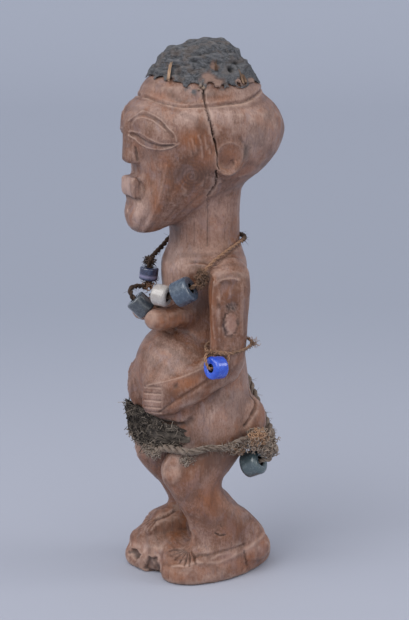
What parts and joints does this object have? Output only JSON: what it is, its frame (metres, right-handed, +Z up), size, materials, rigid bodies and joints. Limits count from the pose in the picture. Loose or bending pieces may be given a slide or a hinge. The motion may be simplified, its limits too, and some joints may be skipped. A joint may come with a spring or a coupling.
{
  "type": "carved standing figure",
  "caption": "Carved wood standing figure with hands on a round belly, a resin mass on the head, a beaded necklace, an arm cord with a bead and a rope with a hide strip round the hips.",
  "frame": {"origin": "centre of the flat underside of the base, below the neck", "axes": "+Z up along the figure's height, the figure looks along -Y, its left arm is on the +X side"},
  "size_m": [0.0625, 0.0648, 0.21],
  "materials": {
    "wood": "handled reddish-brown wood with a dull sheen",
    "resin": "rough dark slate-grey resin and earth",
    "sliver": "dry split wood",
    "fibre": "twisted plant fibre, frayed",
    "hide": "dark hide with worn fur",
    "grey_blue_glass": "opaque glass, worn satin",
    "white_glass": "opaque glass, worn satin",
    "dark_grey_glass": "opaque glass, worn matt",
    "navy_glass": "opaque glass, worn satin",
    "blue_glass": "opaque glass, glossy",
    "grey_green_glass": "opaque glass, worn satin"
  },
  "bodies": {
    "root": {"figure": "wood", "resin_crown": "resin", "crown_peg_1": "sliver", "crown_peg_2": "sliver", "crown_peg_3": "sliver", "grey_blue_bead": "grey_blue_glass", "white_bead": "white_glass", "dark_grey_bead": "dark_grey_glass", "navy_bead": "navy_glass", "blue_bead": "blue_glass", "tuft_bead": "grey_green_glass", "necklace_cord": "fibre", "arm_cord": "fibre", "waist_cord": "fibre", "hide_strip": "hide"}
  },
  "joints": []
}
